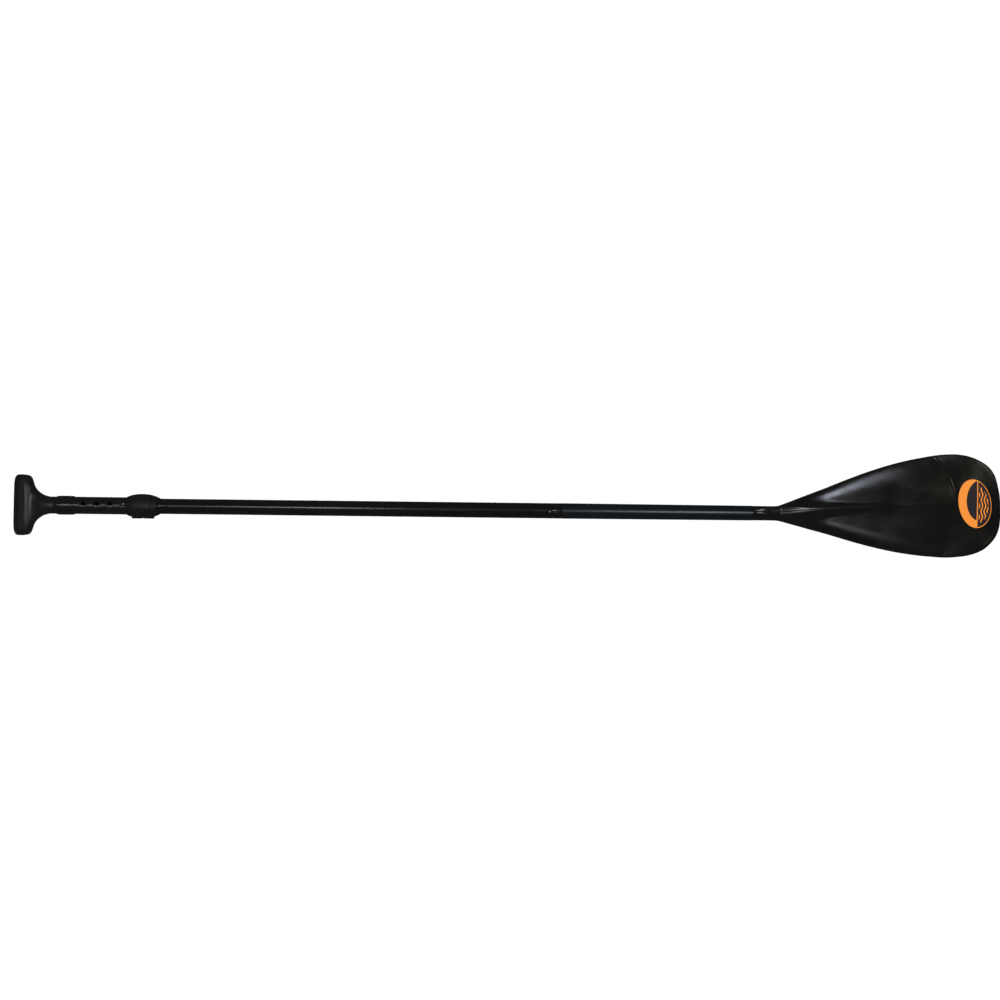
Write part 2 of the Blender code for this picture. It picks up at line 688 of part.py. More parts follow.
def build_lever(lever, look):
    """The lever: a shell that lies flush in the bulb and a hub round the barrel."""
    shell = sector(
        LEVER_X0 + GAP,
        LEVER_X1 - GAP,
        lever_inner,
        clamp_radius,
        LEVER_END_ANGLE,
        pivot_angle() - math.radians(3),
        29,
    )
    made = finish(shell, "clamp_lever", lever, look)
    pivot = (BOLT_X, *around_shaft(BOLT_DISTANCE, TRUNNION_HEIGHT))
    set_origin(made, pivot)
    hub = along_x_at_pivot(LEVER_X0 + 2 * GAP, LEVER_X1 - 2 * GAP, LEVER_HUB_RADIUS, 0.5 * MM)
    combine(made, tool(hub, "lever_hub", lever), "UNION")
    combine(made, tool(lever_tab(), "lever_tab", lever), "UNION")
    bore = along_x_at_pivot(LEVER_X0 - 5 * MM, LEVER_X1 + 5 * MM, TRUNNION_RADIUS + RUNNING)
    combine(made, tool(bore, "lever_bore", lever), "DIFFERENCE")
    half = BOLT_RADIUS + 2 * GAP
    slot = along_x_at_pivot(BOLT_X - half, BOLT_X + half, LEVER_HUB_RADIUS + 1.2 * MM)
    combine(made, tool(slot, "lever_bolt_slot", lever), "DIFFERENCE")


# ---------------------------------------------------------------- snap buttons


def radial(bm, x, turn):
    """Moves a shape made round +Z to a station and turns it round the shaft."""
    bmesh.ops.translate(bm, verts=bm.verts, vec=(x, 0, 0))
    return turn_about_shaft(bm, -turn)


def build_button(name, parent, look, x, turn, tube_bore, tube_radius):
    """A domed button with a flange that stops it under the tube's wall."""
    flange_top = math.sqrt(tube_bore**2 - BUTTON_FLANGE_RADIUS**2) - GAP
    low = flange_top - BUTTON_FLANGE_THICKNESS
    top = tube_radius + BUTTON_PROUD
    dome = [
        (top - BUTTON_PROUD * (1 - math.sin(a)), BUTTON_RADIUS * math.cos(a))
        for a in np.linspace(0, math.pi / 2, 6)[:-1]
    ]
    profile = [
        (low, 0.0),
        (low, BUTTON_FLANGE_RADIUS),
        (flange_top, BUTTON_FLANGE_RADIUS),
        (flange_top, BUTTON_RADIUS),
        *dome,
        (top, 0.0),
    ]
    bm = radial(turned(profile, steps=FINE, axis=(0, 0, 1)), x, turn)
    made = finish(bm, name, parent, look)
    set_origin(made, (x, low * math.sin(turn), low * math.cos(turn)))
    return low


def build_spring(name, parent, look, x, turn, bore, top):
    """A bent leaf: the top leg carries the button and the lower one lies in the bore."""
    half = SPRING_WIDTH / 2
    low = -math.sqrt(bore**2 - half**2) + GAP
    reach = SPRING_LENGTH
    middle = (top + low) / 2
    bend = (top - low) / 2
    route = [(-half, top), (0.35 * reach, top)]
    route += [
        (0.35 * reach + 0.45 * reach * math.sin(a), middle + bend * math.cos(a))
        for a in np.linspace(0.12 * math.pi, 0.88 * math.pi, 13)
    ]
    route += [(0.35 * reach, low + SPRING_LEAF), (-half, low + SPRING_LEAF)]
    points = np.array(route)
    run = np.gradient(points, axis=0)
    normal = np.stack((run[:, 1], -run[:, 0]), axis=1)
    normal /= np.linalg.norm(normal, axis=1, keepdims=True)
    inner = points + normal * SPRING_LEAF
    rings = []
    for (ax, az), (bx, bz) in zip(points, inner):
        rings.append([(ax, -half, az), (ax, half, az), (bx, half, bz), (bx, -half, bz)])
    finish(radial(loft(rings), x, turn), name, parent, look)


def hole_through(target, parent, name, x, turn, bore):
    """A round hole for a button through one side of a tube."""
    cutter = turned(rod_profile(bore / 2, 2 * HANDLE_RADIUS, HOLE_RADIUS), steps=FINE, axis=(0, 0, 1))
    combine(target, tool(radial(cutter, x, turn), name, parent), "DIFFERENCE")


# ---------------------------------------------------------------- middle and lower shafts


def plug(name, parent, look, start, end, radius):
    finish(turned(rod_profile(start, end, radius, 0.5 * MM)), name, parent, look)


def build_middle(middle, button_body, shaft_look, plastic, foam, steel):
    profile = pipe_profile(MIDDLE_TOP_X, SEAM_X, MIDDLE_RADIUS, MIDDLE_BORE, 0.3 * MM)
    shaft = finish(turned(profile, closed=True), "middle_shaft", middle, shaft_look)
    hole_through(shaft, middle, "shaft_button_hole", BUTTON_X, 0.0, MIDDLE_BORE)
    hole_through(shaft, middle, "joint_hole", JOINT_BUTTON_X, JOINT_BUTTON_TURN, MIDDLE_BORE)
    inside = MIDDLE_BORE - GAP
    plug("shaft_top_plug", middle, plastic, MIDDLE_TOP_X + GAP, MIDDLE_TOP_X + PLUG_LENGTH, inside)
    foam_x = BUTTON_X + SPRING_LENGTH + 10 * MM
    plug("middle_float", middle, foam, foam_x, foam_x + FOAM_LENGTH, inside)
    low = build_button(
        "length_button", button_body, steel, BUTTON_X, 0.0, MIDDLE_BORE, HANDLE_RADIUS
    )
    build_spring("length_button_spring", middle, steel, BUTTON_X, 0.0, MIDDLE_BORE, low - GAP)


def build_spigot(lower, look):
    """The sleeve glued into the lower shaft that slips into the middle one."""
    start = SEAM_X - SPIGOT_IN_MIDDLE
    end = SEAM_X + SPIGOT_IN_LOWER
    profile = pipe_profile(start, end, SPIGOT_RADIUS, SPIGOT_BORE, 0.8 * MM)
    spigot = finish(turned(profile, closed=True), "joint_spigot", lower, look)
    hole_through(spigot, lower, "spigot_hole", JOINT_BUTTON_X, JOINT_BUTTON_TURN, SPIGOT_BORE)


def build_lower(lower, button_body, shaft_look, plastic, foam, steel):
    start, end = SEAM_X + GAP, NECK_X - GAP
    profile = [
        (start, LOWER_RADIUS_TOP - 0.3 * MM),
        (start + 0.3 * MM, LOWER_RADIUS_TOP),
        (end, LOWER_RADIUS_END),
        (end, LOWER_BORE_END),
        (start, LOWER_BORE_TOP),
    ]
    finish(turned(profile, closed=True), "lower_shaft", lower, shaft_look)
    build_spigot(lower, plastic)
    low = build_button(
        "joint_button",
        button_body,
        steel,
        JOINT_BUTTON_X,
        JOINT_BUTTON_TURN,
        SPIGOT_BORE,
        MIDDLE_RADIUS,
    )
    build_spring(
        "joint_button_spring",
        lower,
        steel,
        JOINT_BUTTON_X,
        JOINT_BUTTON_TURN,
        SPIGOT_BORE,
        low - GAP,
    )
    foam_end = NECK_X - TANG_LENGTH - 20 * MM
    inside = LOWER_BORE_END - GAP
    plug("lower_float", lower, foam, foam_end - FOAM_LENGTH, foam_end, inside)


# ---------------------------------------------------------------- blade


def blade_height(d, v):
    """Height of the blade's middle surface at distance d and cross share v."""
    share = d / BLADE_LENGTH
    crown = smooth_through(BLADE_CROWN, share) * (1 - np.abs(v) ** 1.8)
    return smooth_through(BLADE_RISE, share) + crown


def blade_half_width(d):
    return BLADE_HALF_WIDTH * smooth_through(BLADE_OUTLINE, d / BLADE_LENGTH)


def blade_lean(d):
    return BLADE_HALF_WIDTH * smooth_through(BLADE_TIP_LEAN, d / BLADE_LENGTH)


def spine_height(d, y):
    share = d / BLADE_LENGTH
    height = smooth_through([(s, h) for s, h, w in BLADE_SPINE], share)
    width = smooth_through([(s, w) for s, h, w in BLADE_SPINE], share)
    return height * np.exp(-((y / width) ** 2))


def half_thickness(d, v):
    share = d / BLADE_LENGTH
    core = BLADE_HALF_THICKNESS + (BLADE_TIP_HALF_THICKNESS - BLADE_HALF_THICKNESS) * share
    return core * np.sqrt(np.clip(1 - np.abs(v) ** 6, 0, 1))


def blade_ring(d, v, top):
    """One closed section, turning from the round neck into the flat blade."""
    width = float(blade_half_width(d))
    side = np.where(top, 1.0, -1.0)
    blend = np.clip(d / NECK_FADE, 0, 1)
    blend = blend * blend * (3 - 2 * blend)
    y = width * v
    ridge = np.where(top, 1.0, UNDER_SPINE) * spine_height(d, y) * (1 - v**4)
    flat = side * (half_thickness(d, v) + ridge)
    neck = side * NECK_RADIUS * np.sqrt(np.clip(1 - v * v, 0, 1))
    z = blade_height(d, v) + (1 - blend) * neck + blend * flat
    return [(BLADE_X + d, a, b) for a, b in zip(y + float(blade_lean(d)), z)]


def cross_shares():
    """Places across the blade, closer together at the spine and at the edges."""
    count = 15
    s = np.arange(-count, count + 1) / count
    share = np.sin(np.pi / 2 * s * np.abs(s) ** 0.3)
    v = np.concatenate([share, share[::-1][1:-1]])
    top = np.concatenate([np.ones(len(share), bool), np.zeros(len(share) - 2, bool)])
    return v, top


def build_blade(lower, look):
    v, top = cross_shares()
    side = np.where(top, 1.0, -1.0)
    round_z = side * np.sqrt(np.clip(1 - v * v, 0, 1))

    def circle(x, radius):
        return [(x, radius * a, radius * b) for a, b in zip(v, round_z)]

    tang = LOWER_BORE_END - TANG_CLEARANCE
    rings = [
        circle(NECK_X - TANG_LENGTH, tang - 1.0 * MM),
        circle(NECK_X - TANG_LENGTH + 2 * MM, tang),
        circle(NECK_X, tang),
        circle(NECK_X, NECK_RADIUS - 0.4 * MM),
        circle(NECK_X + 0.4 * MM, NECK_RADIUS),
        circle(BLADE_X - 8 * MM, NECK_RADIUS),
    ]
    shares = np.concatenate([np.linspace(0, 0.9, 27), (0.93, 0.955, 0.974, 0.987, 0.995, 1.0)])
    rings += [blade_ring(share * BLADE_LENGTH, v, top) for share in shares]
    finish(loft(rings), "blade", lower, look, 50)


def emblem_point(radius, angle, lift):
    d = EMBLEM_AT * BLADE_LENGTH + radius * EMBLEM_HALF_LENGTH * math.cos(angle)
    y = EMBLEM_SIDE + radius * EMBLEM_HALF_WIDTH * math.sin(angle)
    v = (y - float(blade_lean(d))) / float(blade_half_width(d))
    z = float(blade_height(d, v) + half_thickness(d, v) + spine_height(d, y))
    return (BLADE_X + d, y, z + lift)


def build_emblem(lower, look):
    """A thin oval label that follows the blade's face."""
    bm = bmesh.new()
    angles = np.linspace(0, 2 * math.pi, 36, endpoint=False)
    radii = (0.25, 0.5, 0.75, 0.9, 1.0)
    layers = []
    for lift in (2 * GAP, 2 * GAP + EMBLEM_THICKNESS):
        centre = bm.verts.new(emblem_point(0.0, 0.0, lift))
        rings = [[bm.verts.new(emblem_point(r, a, lift)) for a in angles] for r in radii]
        for i in range(len(angles)):
            j = (i + 1) % len(angles)
            bm.faces.new((centre, rings[0][i], rings[0][j]))
            for inner, outer in zip(rings, rings[1:]):
                bm.faces.new((inner[i], outer[i], outer[j], inner[j]))
        layers.append(rings[-1])
    for i in range(len(angles)):
        j = (i + 1) % len(angles)
        bm.faces.new((layers[0][i], layers[1][i], layers[1][j], layers[0][j]))
    finish(bm, "blade_emblem", lower, look)


# ---------------------------------------------------------------- the paddle


def main():
    clear_scene()
    grip_plastic = material("grip_plastic", (0.012, 0.012, 0.013), 0.45)
    handle_paint = material("handle_paint", (0.016, 0.016, 0.018), 0.32, 0.2)
    clamp_plastic = material("clamp_plastic", (0.014, 0.014, 0.014), 0.6)
    gloss_paint = material("gloss_paint", (0.010, 0.010, 0.012), 0.18, 0.2)
    blade_nylon = material("blade_nylon", (0.014, 0.014, 0.014), 0.5)
    steel = material("steel", (0.45, 0.45, 0.46), 0.3, 1.0)
    foam = material("foam", (0.75, 0.73, 0.68), 0.9)
    label = material("label", (0.9, 0.32, 0.03), 0.4)

    middle = body_empty("middle_body")
    handle = body_empty("handle_body")
    lever = body_empty("lever_body")
    length_button = body_empty("length_button_body")
    lower = body_empty("lower_body")
    joint_button = body_empty("joint_button_body")

    build_grip(handle, grip_plastic, grip_plastic)
    build_ferrule(handle, gloss_paint)
    build_handle_tube(handle, handle_paint)
    build_clamp_body(handle, clamp_plastic)
    build_clamp_hardware(handle, steel)
    build_lever(lever, clamp_plastic)
    build_middle(middle, length_button, gloss_paint, clamp_plastic, foam, steel)
    build_lower(lower, joint_button, gloss_paint, clamp_plastic, foam, steel)
    build_blade(lower, blade_nylon)
    build_emblem(lower, label)


main()
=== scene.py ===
# %% [markdown]
# # A paddle for stand-up boards
# The paddle comes apart into three tubes. A palm grip closes the handle tube, a bulb-shaped
# lever clamp holds the handle on the middle shaft, and a snap button joins the lower shaft
# with its moulded blade. The engineering model gives every size, so this script loads it as
# a fixed frame and works on how each piece looks.

# %% Load the frame
import json
import math

import bmesh
import bpy
import numpy as np
from mathutils import Matrix, Vector

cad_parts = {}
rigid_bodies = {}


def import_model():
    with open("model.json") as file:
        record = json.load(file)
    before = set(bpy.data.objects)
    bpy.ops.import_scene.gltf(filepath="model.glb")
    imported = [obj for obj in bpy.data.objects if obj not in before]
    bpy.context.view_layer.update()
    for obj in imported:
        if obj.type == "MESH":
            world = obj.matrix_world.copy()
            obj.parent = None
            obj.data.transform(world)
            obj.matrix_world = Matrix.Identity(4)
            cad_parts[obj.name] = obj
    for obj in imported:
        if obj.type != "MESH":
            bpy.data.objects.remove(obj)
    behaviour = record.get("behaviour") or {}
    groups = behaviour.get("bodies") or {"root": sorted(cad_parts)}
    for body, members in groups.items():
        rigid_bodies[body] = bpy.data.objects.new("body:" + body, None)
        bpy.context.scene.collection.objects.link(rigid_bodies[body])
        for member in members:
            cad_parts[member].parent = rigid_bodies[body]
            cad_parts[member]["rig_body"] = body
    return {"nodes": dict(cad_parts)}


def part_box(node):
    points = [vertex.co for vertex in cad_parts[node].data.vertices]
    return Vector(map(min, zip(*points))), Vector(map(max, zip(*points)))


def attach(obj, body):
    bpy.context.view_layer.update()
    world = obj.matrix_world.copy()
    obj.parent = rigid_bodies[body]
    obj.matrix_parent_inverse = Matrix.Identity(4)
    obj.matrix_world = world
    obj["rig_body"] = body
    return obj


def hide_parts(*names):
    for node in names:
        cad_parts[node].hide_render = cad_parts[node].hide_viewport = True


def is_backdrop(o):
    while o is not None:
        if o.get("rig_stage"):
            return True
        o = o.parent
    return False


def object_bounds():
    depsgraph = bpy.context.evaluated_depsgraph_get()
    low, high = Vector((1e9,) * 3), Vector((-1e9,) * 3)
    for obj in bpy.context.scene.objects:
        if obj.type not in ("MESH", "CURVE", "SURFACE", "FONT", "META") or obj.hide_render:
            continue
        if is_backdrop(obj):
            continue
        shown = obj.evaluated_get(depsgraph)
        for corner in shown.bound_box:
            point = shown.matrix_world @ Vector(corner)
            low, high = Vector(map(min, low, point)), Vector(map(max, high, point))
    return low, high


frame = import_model()
cad_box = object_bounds()
MM = 0.001
print("pieces in the frame:", len(frame["nodes"]))

# %% [markdown]
# ## Where things are
# A paddle is long and round, so nearly every place on it is a distance along one axis. The
# boxes of the imported pieces give those distances, and the middle shaft's box gives the
# height of the axis above the floor.

# %% Stations along the shaft


def span(node):
    """Where a piece starts and ends along X."""
    low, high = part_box(node)
    return low.x, high.x


AXIS_Z = (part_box("middle_shaft")[0].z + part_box("middle_shaft")[1].z) / 2
SEAM_X = span("middle_shaft")[1]
NECK_X = span("lower_shaft")[1] + 0.3 * MM
TIP_X = span("blade")[1]
BUTTON_X = sum(span("length_button")) / 2
print("axis height", round(AXIS_Z, 4), "seam", round(SEAM_X, 4), "neck", round(NECK_X, 4))

# %% [markdown]
# ## The camera
# The paddle is looked down on from a little in front of it. A long object close to the
# camera spreads towards its ends, so the distance matters as much as the direction. The
# camera is turned by a fraction of a degree, which lets the shaft drop to the right.

# %% Make the camera
CAMERA_DISTANCE = 1.96
CAMERA_ELEVATION = math.radians(75.0)
CAMERA_ROLL = math.radians(0.66)
LENS = 37.73
AIM_ALONG = 0.01
AIM_UP = 0.0191


def make_camera():
    up = Vector((0, math.sin(CAMERA_ELEVATION), math.cos(CAMERA_ELEVATION)))
    back = Vector((0, -math.cos(CAMERA_ELEVATION), math.sin(CAMERA_ELEVATION)))
    right = Vector((1, 0, 0))
    cos, sin = math.cos(CAMERA_ROLL), math.sin(CAMERA_ROLL)
    turned_right = right * cos + up * sin
    turned_up = up * cos - right * sin
    aim = Vector((AIM_ALONG, 0, AXIS_Z)) + up * AIM_UP
    camera = bpy.data.objects.new("camera", bpy.data.cameras.new("camera"))
    camera.data.lens = LENS
    axes = Matrix((turned_right, turned_up, back)).transposed()
    camera.matrix_world = Matrix.Translation(aim + back * CAMERA_DISTANCE) @ axes.to_4x4()
    bpy.context.scene.collection.objects.link(camera)
    bpy.context.scene.camera = camera
    return camera


camera = make_camera()
print("camera at", [round(c, 3) for c in camera.matrix_world.translation])

# %% [markdown]
# ## Helpers for meshes
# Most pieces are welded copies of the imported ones, so that light rolls over them without
# facets. The handle tube, the blade and its badge carry more detail, so they are built here
# from rings of points. Every piece gets smooth shading with crisp edges and rides on the
# body that carries it.

# %% Mesh helpers


def to_piece(bm, name, sharp=35.0):
    """Turns a bmesh into a smooth-shaded object in the scene."""
    bmesh.ops.remove_doubles(bm, verts=bm.verts, dist=1e-6)
    bmesh.ops.recalc_face_normals(bm, faces=bm.faces)
    if bm.calc_volume(signed=True) < 0:
        bmesh.ops.reverse_faces(bm, faces=bm.faces)
    mesh = bpy.data.meshes.new(name)
    bm.to_mesh(mesh)
    bm.free()
    mesh.shade_smooth()
    mesh.set_sharp_from_angle(angle=math.radians(sharp))
    piece = bpy.data.objects.new(name, mesh)
    bpy.context.scene.collection.objects.link(piece)
    return piece


def cut_with(piece, cutter):
    """Cuts one mesh with another and throws the cutter away."""
    step = piece.modifiers.new("cut", "BOOLEAN")
    step.operation = "DIFFERENCE"
    step.object = cutter
    graph = bpy.context.evaluated_depsgraph_get()
    mesh = bpy.data.meshes.new_from_object(piece.evaluated_get(graph))
    piece.modifiers.clear()
    piece.data = mesh
    bpy.data.objects.remove(cutter)


def dress(piece, node, look):
    """Lets a finished piece stand for an imported one: it gets the given finish, rides on the
    same body, and the imported piece is hidden.
    """
    piece.data.materials.clear()
    piece.data.materials.append(look)
    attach(piece, frame["nodes"][node]["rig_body"])
    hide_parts(node)
    return piece


def smooth_copy(node, name, look, sharp=35.0):
    """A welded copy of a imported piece, so that light rolls over it without facets."""
    bm = bmesh.new()
    bm.from_mesh(frame["nodes"][node].data)
    return dress(to_piece(bm, name, sharp), node, look)


# %% [markdown]
# ## Helpers for finishes
# Each finish is one Principled shader. Fine noise drives its roughness and a bump, because
# no moulded or painted surface is perfectly even. The noise is read in object space, which
# is in metres here, so a scale of 1000 makes grains of about a millimetre.

# %% Finish helpers


def finish_of(name, colour, roughness, metallic=0.0):
    """A new material; returns it with its node tree and its shader."""
    made = bpy.data.materials.new(name)
    made.use_nodes = True
    shader = made.node_tree.nodes["Principled BSDF"]
    shader.inputs["Base Color"].default_value = (*colour, 1.0)
    shader.inputs["Roughness"].default_value = roughness
    shader.inputs["Metallic"].default_value = metallic
    return made, made.node_tree, shader


def grain(tree, scale, detail=3.0, stretch=(1, 1, 1)):
    """Noise in object space; stretch squeezes it along an axis."""
    where = tree.nodes.new("ShaderNodeTexCoord")
    squeeze = tree.nodes.new("ShaderNodeMapping")
    squeeze.inputs["Scale"].default_value = stretch
    noise = tree.nodes.new("ShaderNodeTexNoise")
    noise.inputs["Scale"].default_value = scale
    noise.inputs["Detail"].default_value = detail
    tree.links.new(where.outputs["Object"], squeeze.inputs["Vector"])
    tree.links.new(squeeze.outputs["Vector"], noise.inputs["Vector"])
    return noise.outputs["Fac"]


def spread(tree, value, low, high, from_low=0.3, from_high=0.7):
    """Maps a noise value onto a range, such as a roughness."""
    fit = tree.nodes.new("ShaderNodeMapRange")
    fit.inputs["From Min"].default_value = from_low
    fit.inputs["From Max"].default_value = from_high
    fit.inputs["To Min"].default_value = low
    fit.inputs["To Max"].default_value = high
    tree.links.new(value, fit.inputs["Value"])
    return fit.outputs["Result"]


def between(tree, share, first, second):
    """A colour that runs from one to another with a share."""
    mix = tree.nodes.new("ShaderNodeMix")
    mix.data_type = "RGBA"
    mix.inputs["A"].default_value = (*first, 1.0)
    mix.inputs["B"].default_value = (*second, 1.0)
    tree.links.new(share, mix.inputs["Factor"])
    return mix.outputs["Result"]


def bumped(tree, shader, height, depth):
    """Lets a value stand for height; depth is the height of a full step in metres."""
    bump = tree.nodes.new("ShaderNodeBump")
    bump.inputs["Distance"].default_value = depth
    bump.inputs["Strength"].default_value = 1.0
    tree.links.new(height, bump.inputs["Height"])
    tree.links.new(bump.outputs["Normal"], shader.inputs["Normal"])
    return bump


# %% [markdown]
# ## Black plastics
# The grip, its caps, the clamp and the blade are glass-filled nylon: near black, with a
# fine moulded texture that scatters the light, and slightly paler where hands and water
# have rubbed it.

# %% Plastic finishes


def moulded(name, colour, worn, roughness, grain_scale, depth, shine=0.5):
    """Satin plastic: clouds of wear change its colour and roughness, over a fine grain."""
    made, tree, shader = finish_of(name, colour, roughness)
    cloud = grain(tree, 22.0, 4.0)
    colours = between(tree, spread(tree, cloud, 0.0, 1.0), colour, worn)
    tree.links.new(colours, shader.inputs["Base Color"])
    tree.links.new(
        spread(tree, cloud, roughness - 0.05, roughness + 0.07), shader.inputs["Roughness"]
    )
    bumped(tree, shader, grain(tree, grain_scale, 2.0), depth)
    shader.inputs["Specular IOR Level"].default_value = shine
    return made


grip_look = moulded(
    "grip_satin", (0.004, 0.004, 0.0035), (0.0065, 0.0065, 0.0055), 0.33, 1500, 2e-5
)
cap_look = moulded(
    "grip_cap_satin", (0.0035, 0.0035, 0.003), (0.006, 0.006, 0.005), 0.38, 1500, 2e-5
)
clamp_look = moulded(
    "clamp_matte", (0.004, 0.004, 0.0036), (0.006, 0.006, 0.0053), 0.45, 1100, 4e-5, 0.32
)
blade_look = moulded(
    "blade_satin", (0.0035, 0.0035, 0.003), (0.0055, 0.0055, 0.005), 0.18, 1300, 6e-6
)
inner_look = moulded("inner_nylon", (0.02, 0.02, 0.02), (0.03, 0.03, 0.03), 0.5, 900, 3e-5)
plastics = (grip_look, cap_look, clamp_look, blade_look, inner_look)
print("plastics:", [look.name for look in plastics])

# %% [markdown]
# ## Coated tubes
# The shafts have a clear gloss coat over black. The coat levels itself on the tube, so its
# waviness runs along the shaft and is very faint. The handle tube is duller, with drawing
# lines along its length.

# %% Tube finishes


def coated(name, colour, second, roughness, line_depth, wave_depth):
    """A gloss coat: fine lines along the tube, over slow waves in the coat."""
    made, tree, shader = finish_of(name, colour, roughness)
    cloud = grain(tree, 9.0, 3.0)
    colours = between(tree, spread(tree, cloud, 0.0, 1.0), colour, second)
    tree.links.new(colours, shader.inputs["Base Color"])
    lines = grain(tree, 900.0, 3.0, (0.01, 1, 1))
    tree.links.new(
        spread(tree, lines, roughness - 0.04, roughness + 0.05), shader.inputs["Roughness"]
    )
    fine = bumped(tree, shader, lines, line_depth)
    waves = tree.nodes.new("ShaderNodeBump")
    waves.inputs["Distance"].default_value = wave_depth
    tree.links.new(grain(tree, 60.0, 2.0, (0.35, 1, 1)), waves.inputs["Height"])
    tree.links.new(waves.outputs["Normal"], fine.inputs["Normal"])
    return made


handle_look = coated(
    "handle_coat", (0.004, 0.004, 0.0035), (0.006, 0.006, 0.0055), 0.24, 8e-6, 3e-5
)
shaft_look = coated(
    "middle_coat", (0.003, 0.003, 0.003), (0.0045, 0.0045, 0.0045), 0.2, 3e-6, 3e-5
)
lower_look = coated(
    "lower_coat", (0.003, 0.0045, 0.006), (0.0045, 0.006, 0.008), 0.28, 3e-6, 2e-5
)
ferrule_look = coated(
    "ferrule_gloss", (0.004, 0.004, 0.004), (0.006, 0.006, 0.006), 0.2, 4e-6, 2e-5
)
print("tube finishes:", handle_look.name, shaft_look.name, lower_look.name, ferrule_look.name)

# %% [markdown]
# ## Steel and foam
# The buttons, springs and the clamp's screw are steel: brushed on the outside, a little
# darker where it has been handled. The floats are closed-cell foam, full of small bubbles.

# %% Steel and foam finishes


def steel_finish(name, colour, roughness):
    made, tree, shader = finish_of(name, colour, roughness, 1.0)
    lines = grain(tree, 2500.0, 2.0, (1, 0.1, 1))
    tree.links.new(
        spread(tree, lines, roughness - 0.08, roughness + 0.1), shader.inputs["Roughness"]
    )
    dark = tuple(0.7 * c for c in colour)
    tint = between(tree, spread(tree, grain(tree, 300.0), 0.0, 1.0), colour, dark)
    tree.links.new(tint, shader.inputs["Base Color"])
    bumped(tree, shader, lines, 5e-6)
    return made


def foam_finish(name, colour):
    made, tree, shader = finish_of(name, colour, 0.9)
    bubbles = tree.nodes.new("ShaderNodeTexVoronoi")
    bubbles.inputs["Scale"].default_value = 700.0
    where = tree.nodes.new("ShaderNodeTexCoord")
    tree.links.new(where.outputs["Object"], bubbles.inputs["Vector"])
    pale = tuple(min(1.0, 1.15 * c) for c in colour)
    tint = between(tree, bubbles.outputs["Distance"], colour, pale)
    tree.links.new(tint, shader.inputs["Base Color"])
    bumped(tree, shader, bubbles.outputs["Distance"], 2e-4)
    return made


steel_look = steel_finish("brushed_steel", (0.45, 0.45, 0.46), 0.32)
button_look = steel_finish("button_steel", (0.30, 0.30, 0.31), 0.30)
spring_look = steel_finish("spring_steel", (0.38, 0.38, 0.40), 0.28)
foam_look = foam_finish("float_foam", (0.70, 0.68, 0.62))
print("metals:", steel_look.name, button_look.name, spring_look.name)

# %% [markdown]
# ## The plain pieces
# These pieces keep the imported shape, with smooth shading added. Each one is named after the
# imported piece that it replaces.

# %% Dress the plain pieces
PLAIN_PIECES = (
    ("grip_end_cap_left", cap_look),
    ("grip_end_cap_right", cap_look),
    ("palm_grip", grip_look),
    ("clamp_body", clamp_look),
    ("clamp_lever", clamp_look),
    ("clamp_bolt", steel_look),
    ("clamp_washer", steel_look),
    ("clamp_trunnion", steel_look),
    ("shaft_top_plug", inner_look),
    ("joint_spigot", inner_look),
    ("middle_float", foam_look),
    ("lower_float", foam_look),
    ("length_button", button_look),
    ("joint_button", button_look),
    ("length_button_spring", spring_look),
    ("joint_button_spring", spring_look),
    ("grip_ferrule", ferrule_look),
    ("middle_shaft", shaft_look),
    ("lower_shaft", lower_look),
)
for node, look in PLAIN_PIECES:
    smooth_copy(node, f"{node}_shell", look)
print("plain pieces:", len(PLAIN_PIECES))

# %% [markdown]
# ## The handle tube
# Four holes run along the top of the handle tube, for the length button. Each was pressed
# before it was pierced, so the metal sinks a little round it, and what stays between two
# holes is a low saddle.

# %% Build the handle tube
HANDLE_RADIUS = 16.1 * MM
HANDLE_BORE = 14.6 * MM
HOLE_COUNT = 4
HOLE_PITCH = 25.0 * MM
HOLE_RADIUS = 3.9 * MM
DIMPLE_DEPTH = 0.9 * MM
DIMPLE_ALONG = 6.5 * MM
DIMPLE_ROUND = 6.0 * MM
HOLES_X = [BUTTON_X - i * HOLE_PITCH for i in range(HOLE_COUNT)]
TUBE_LOW, TUBE_HIGH = span("handle_tube")


def grid_loft(rows, closed_ends=True):
    """A solid from equal rings of points."""
    bm = bmesh.new()
    rings = [[bm.verts.new(p) for p in row] for row in rows]
    for low, high in zip(rings, rings[1:]):
        for i in range(len(low)):
            j = (i + 1) % len(low)
            bm.faces.new((low[i], low[j], high[j], high[i]))
    if closed_ends:
        bm.faces.new(rings[0])
        bm.faces.new(rings[-1][::-1])
    return bm


def tube_ring(x, radius, segments=128):
    """One ring of the tube; near a hole its top sinks."""
    points = []
    for turn in np.linspace(0, 2 * np.pi, segments, endpoint=False):
        across = HANDLE_RADIUS * turn if turn < np.pi else HANDLE_RADIUS * (turn - 2 * np.pi)
        sink = sum(math.exp(-(((x - hole) / DIMPLE_ALONG) ** 2)) for hole in HOLES_X)
        sink *= DIMPLE_DEPTH * math.exp(-((across / DIMPLE_ROUND) ** 2))
        r = radius - (sink if radius > HANDLE_BORE else 0.0)
        points.append((x, -r * math.sin(turn), AXIS_Z + r * math.cos(turn)))
    return points


